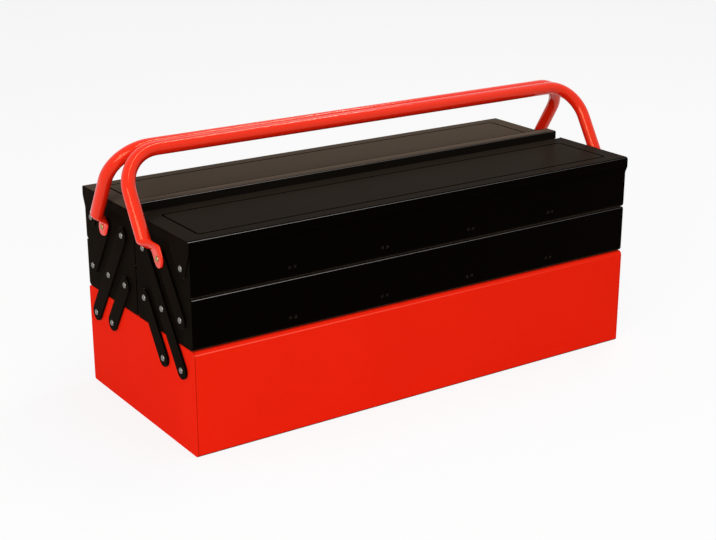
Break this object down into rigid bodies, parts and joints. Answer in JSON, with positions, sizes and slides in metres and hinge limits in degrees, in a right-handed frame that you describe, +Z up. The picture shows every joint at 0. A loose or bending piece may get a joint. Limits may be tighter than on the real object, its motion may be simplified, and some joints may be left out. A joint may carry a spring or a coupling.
{
  "type": "cantilever tool box",
  "caption": "Steel cantilever tool box: a deep base, trays that spread apart on parallel arms, hinged lids and tubular bail handles that meet over the middle.",
  "frame": {"origin": "centre of the base's underside, on the surface it stands on", "axes": "+X along the box's length to its right-hand end, -Y towards the front, +Z up"},
  "size_m": [0.594, 0.236, 0.288],
  "materials": {
    "red_paint": "gloss",
    "black_paint": "satin",
    "divider_paint": "satin",
    "bright_zinc": "satin"
  },
  "bodies": {
    "base": {"base_body": "red_paint", "base_end_left": "red_paint", "base_end_right": "red_paint", "base_rivets": "bright_zinc"},
    "front_long_arms": {"front_long_arm_left": "black_paint", "front_long_arm_right": "black_paint"},
    "front_inner_arms": {"front_inner_arm_left": "black_paint", "front_inner_arm_right": "black_paint"},
    "front_upper_arms": {"front_upper_arm_left": "black_paint", "front_upper_arm_right": "black_paint"},
    "front_lower_tray": {"front_lower_tray_body": "black_paint", "front_lower_tray_end_left": "black_paint", "front_lower_tray_end_right": "black_paint", "front_lower_tray_dividers": "divider_paint", "front_lower_tray_rivets": "bright_zinc"},
    "front_upper_tray": {"front_upper_tray_body": "black_paint", "front_upper_tray_end_left": "black_paint", "front_upper_tray_end_right": "black_paint", "front_upper_tray_dividers": "divider_paint", "front_upper_tray_rivets": "bright_zinc"},
    "front_lid": {"front_lid": "black_paint"},
    "front_handle": {"front_handle": "red_paint"},
    "rear_long_arms": {"rear_long_arm_left": "black_paint", "rear_long_arm_right": "black_paint"},
    "rear_inner_arms": {"rear_inner_arm_left": "black_paint", "rear_inner_arm_right": "black_paint"},
    "rear_upper_arms": {"rear_upper_arm_left": "black_paint", "rear_upper_arm_right": "black_paint"},
    "rear_lower_tray": {"rear_lower_tray_body": "black_paint", "rear_lower_tray_end_left": "black_paint", "rear_lower_tray_end_right": "black_paint", "rear_lower_tray_dividers": "divider_paint", "rear_lower_tray_rivets": "bright_zinc"},
    "rear_upper_tray": {"rear_upper_tray_body": "black_paint", "rear_upper_tray_end_left": "black_paint", "rear_upper_tray_end_right": "black_paint", "rear_upper_tray_dividers": "divider_paint", "rear_upper_tray_rivets": "bright_zinc"},
    "rear_lid": {"rear_lid": "black_paint", "rear_lid_cover_strip": "black_paint"},
    "rear_handle": {"rear_handle": "red_paint"}
  },
  "joints": [
    {"name": "front_spread", "type": "hinge", "parent": "base", "child": "front_long_arms", "pos_m": [0, -0.096, 0.0845], "axis": [1, 0, 0], "range_deg": [0, 69]},
    {"name": "front_lower_tray_level", "type": "hinge", "parent": "front_long_arms", "child": "front_lower_tray", "pos_m": [0, -0.06, 0.1365], "axis": [1, 0, 0], "range_deg": [-69, 0]},
    {"name": "front_upper_tray_level", "type": "hinge", "parent": "front_long_arms", "child": "front_upper_tray", "pos_m": [0, -0.024, 0.1885], "axis": [1, 0, 0], "range_deg": [-69, 0]},
    {"name": "front_inner_arms_swing", "type": "hinge", "parent": "base", "child": "front_inner_arms", "pos_m": [0, -0.058, 0.0845], "axis": [1, 0, 0], "range_deg": [0, 69]},
    {"name": "front_upper_arms_swing", "type": "hinge", "parent": "front_lower_tray", "child": "front_upper_arms", "pos_m": [0, -0.098, 0.1365], "axis": [1, 0, 0], "range_deg": [0, 69]},
    {"name": "front_lid_swing", "type": "hinge", "parent": "front_upper_tray", "child": "front_lid", "pos_m": [0, -0.1, 0.1885], "axis": [1, 0, 0], "range_deg": [0, 90]},
    {"name": "front_handle_swing", "type": "hinge", "parent": "front_upper_tray", "child": "front_handle", "pos_m": [0, -0.062, 0.1885], "axis": [1, 0, 0], "range_deg": [0, 170]},
    {"name": "rear_spread", "type": "hinge", "parent": "base", "child": "rear_long_arms", "pos_m": [0, 0.096, 0.0845], "axis": [-1, 0, 0], "range_deg": [0, 69]},
    {"name": "rear_lower_tray_level", "type": "hinge", "parent": "rear_long_arms", "child": "rear_lower_tray", "pos_m": [0, 0.06, 0.1365], "axis": [-1, 0, 0], "range_deg": [-69, 0]},
    {"name": "rear_upper_tray_level", "type": "hinge", "parent": "rear_long_arms", "child": "rear_upper_tray", "pos_m": [0, 0.024, 0.1885], "axis": [-1, 0, 0], "range_deg": [-69, 0]},
    {"name": "rear_inner_arms_swing", "type": "hinge", "parent": "base", "child": "rear_inner_arms", "pos_m": [0, 0.058, 0.0845], "axis": [-1, 0, 0], "range_deg": [0, 69]},
    {"name": "rear_upper_arms_swing", "type": "hinge", "parent": "rear_lower_tray", "child": "rear_upper_arms", "pos_m": [0, 0.098, 0.1365], "axis": [-1, 0, 0], "range_deg": [0, 69]},
    {"name": "rear_lid_swing", "type": "hinge", "parent": "rear_upper_tray", "child": "rear_lid", "pos_m": [0, 0.1, 0.1885], "axis": [-1, 0, 0], "range_deg": [0, 90]},
    {"name": "rear_handle_swing", "type": "hinge", "parent": "rear_upper_tray", "child": "rear_handle", "pos_m": [0, 0.062, 0.1885], "axis": [-1, 0, 0], "range_deg": [0, 170]}
  ],
  "couplings": [
    {"joint": "front_lower_tray_level", "follows": "front_spread", "ratio": -1},
    {"joint": "front_upper_tray_level", "follows": "front_spread", "ratio": -1},
    {"joint": "front_inner_arms_swing", "follows": "front_spread", "ratio": 1},
    {"joint": "front_upper_arms_swing", "follows": "front_spread", "ratio": 1},
    {"joint": "rear_lower_tray_level", "follows": "rear_spread", "ratio": -1},
    {"joint": "rear_upper_tray_level", "follows": "rear_spread", "ratio": -1},
    {"joint": "rear_inner_arms_swing", "follows": "rear_spread", "ratio": 1},
    {"joint": "rear_upper_arms_swing", "follows": "rear_spread", "ratio": 1}
  ]
}
